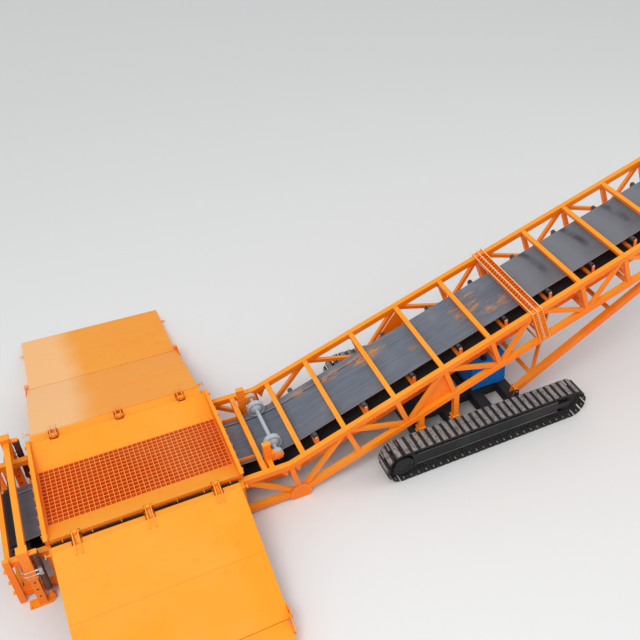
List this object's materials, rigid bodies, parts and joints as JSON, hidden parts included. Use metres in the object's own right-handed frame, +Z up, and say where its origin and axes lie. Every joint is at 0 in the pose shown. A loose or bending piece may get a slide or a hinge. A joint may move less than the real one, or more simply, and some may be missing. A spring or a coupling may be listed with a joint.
{
  "type": "tracked truck unloader",
  "caption": "Drive-over truck unloader on crawler tracks: hopper with folding ramps and grate feeding an inclined belt conveyor.",
  "frame": {"origin": "centre of the machine's footprint on the ground", "axes": "+X from the tail towards the conveyor's head, +Y to the far side, +Z up"},
  "size_m": [19.8656, 12.55, 6.0919],
  "materials": {
    "orange_steel": "satin",
    "black_steel": "satin",
    "blue_steel": "satin",
    "belt_rubber": "matt",
    "shoe_steel": "worn",
    "bare_steel": "machined",
    "grey_steel": "satin",
    "maroon_steel": "gloss",
    "roller_steel": "gloss"
  },
  "bodies": {
    "machine": {"bottom_cross_members": "orange_steel", "carrying_belt": "belt_rubber", "chassis_beams": "black_steel", "crawler_track_far": "shoe_steel", "crawler_track_near": "shoe_steel", "grate": "orange_steel", "head_cheeks": "orange_steel", "head_drive": "blue_steel", "hold_down_posts": "orange_steel", "hopper_end_walls": "orange_steel", "hopper_frame": "orange_steel", "hopper_plates": "orange_steel", "idler_frames": "orange_steel", "idler_rollers": "roller_steel", "idler_stringers": "orange_steel", "jack_crossbeam": "orange_steel", "jack_cylinders": "maroon_steel", "jack_sleeves": "orange_steel", "lower_side_frames": "orange_steel", "power_pack": "blue_steel", "pulley_bearings": "black_steel", "return_belt": "belt_rubber", "return_hangers": "orange_steel", "return_rollers": "roller_steel", "skirt_boards": "orange_steel", "splice_lower": "orange_steel", "splice_upper": "orange_steel", "strut_clevises": "orange_steel", "struts": "orange_steel", "support_legs": "orange_steel", "tail_frame": "orange_steel", "top_cross_members": "orange_steel", "track_frames": "black_steel", "track_wheels": "black_steel", "upper_side_frames": "orange_steel"},
    "ramp_inner_near": {"ramp_inner_near": "orange_steel"},
    "ramp_outer_near": {"ramp_outer_near": "orange_steel"},
    "ramp_inner_far": {"ramp_inner_far": "orange_steel"},
    "ramp_outer_far": {"ramp_outer_far": "orange_steel"},
    "jack_leg_near": {"jack_leg_near": "orange_steel"},
    "jack_leg_far": {"jack_leg_far": "orange_steel"},
    "hold_down_wheels": {"hold_down_wheels": "grey_steel"},
    "tail_pulley": {"tail_pulley": "roller_steel"},
    "head_pulley": {"head_pulley": "roller_steel"}
  },
  "joints": [
    {"name": "ramp_near_lift", "type": "hinge", "parent": "machine", "child": "ramp_inner_near", "pos_m": [-7.50777, -1.29, 1.235], "axis": [-1, 0, 0], "range_deg": [0, 108]},
    {"name": "ramp_near_fold", "type": "hinge", "parent": "ramp_inner_near", "child": "ramp_outer_near", "pos_m": [-7.50777, -3.968, 0.457], "axis": [-1, 0, 0], "range_deg": [0, 172]},
    {"name": "jack_near_slide", "type": "slide", "parent": "machine", "child": "jack_leg_near", "axis": [0, 0, 1], "range_m": [-0.45, 0.08]},
    {"name": "ramp_far_lift", "type": "hinge", "parent": "machine", "child": "ramp_inner_far", "pos_m": [-7.50777, 1.29, 1.235], "axis": [1, 0, 0], "range_deg": [0, 108]},
    {"name": "ramp_far_fold", "type": "hinge", "parent": "ramp_inner_far", "child": "ramp_outer_far", "pos_m": [-7.50777, 3.968, 0.457], "axis": [1, 0, 0], "range_deg": [0, 172]},
    {"name": "jack_far_slide", "type": "slide", "parent": "machine", "child": "jack_leg_far", "axis": [0, 0, 1], "range_m": [-0.45, 0.08]},
    {"name": "hold_down_spin", "type": "hinge", "parent": "machine", "child": "hold_down_wheels", "pos_m": [-5.13778, 0, 1.02112], "axis": [0, 1, 0], "continuous": true},
    {"name": "tail_pulley_spin", "type": "hinge", "parent": "machine", "child": "tail_pulley", "pos_m": [-9.70777, 0, 0.54054], "axis": [0, 1, 0], "continuous": true},
    {"name": "head_pulley_spin", "type": "hinge", "parent": "machine", "child": "head_pulley", "pos_m": [9.31211, 0, 5.56083], "axis": [0, 1, 0], "continuous": true}
  ]
}
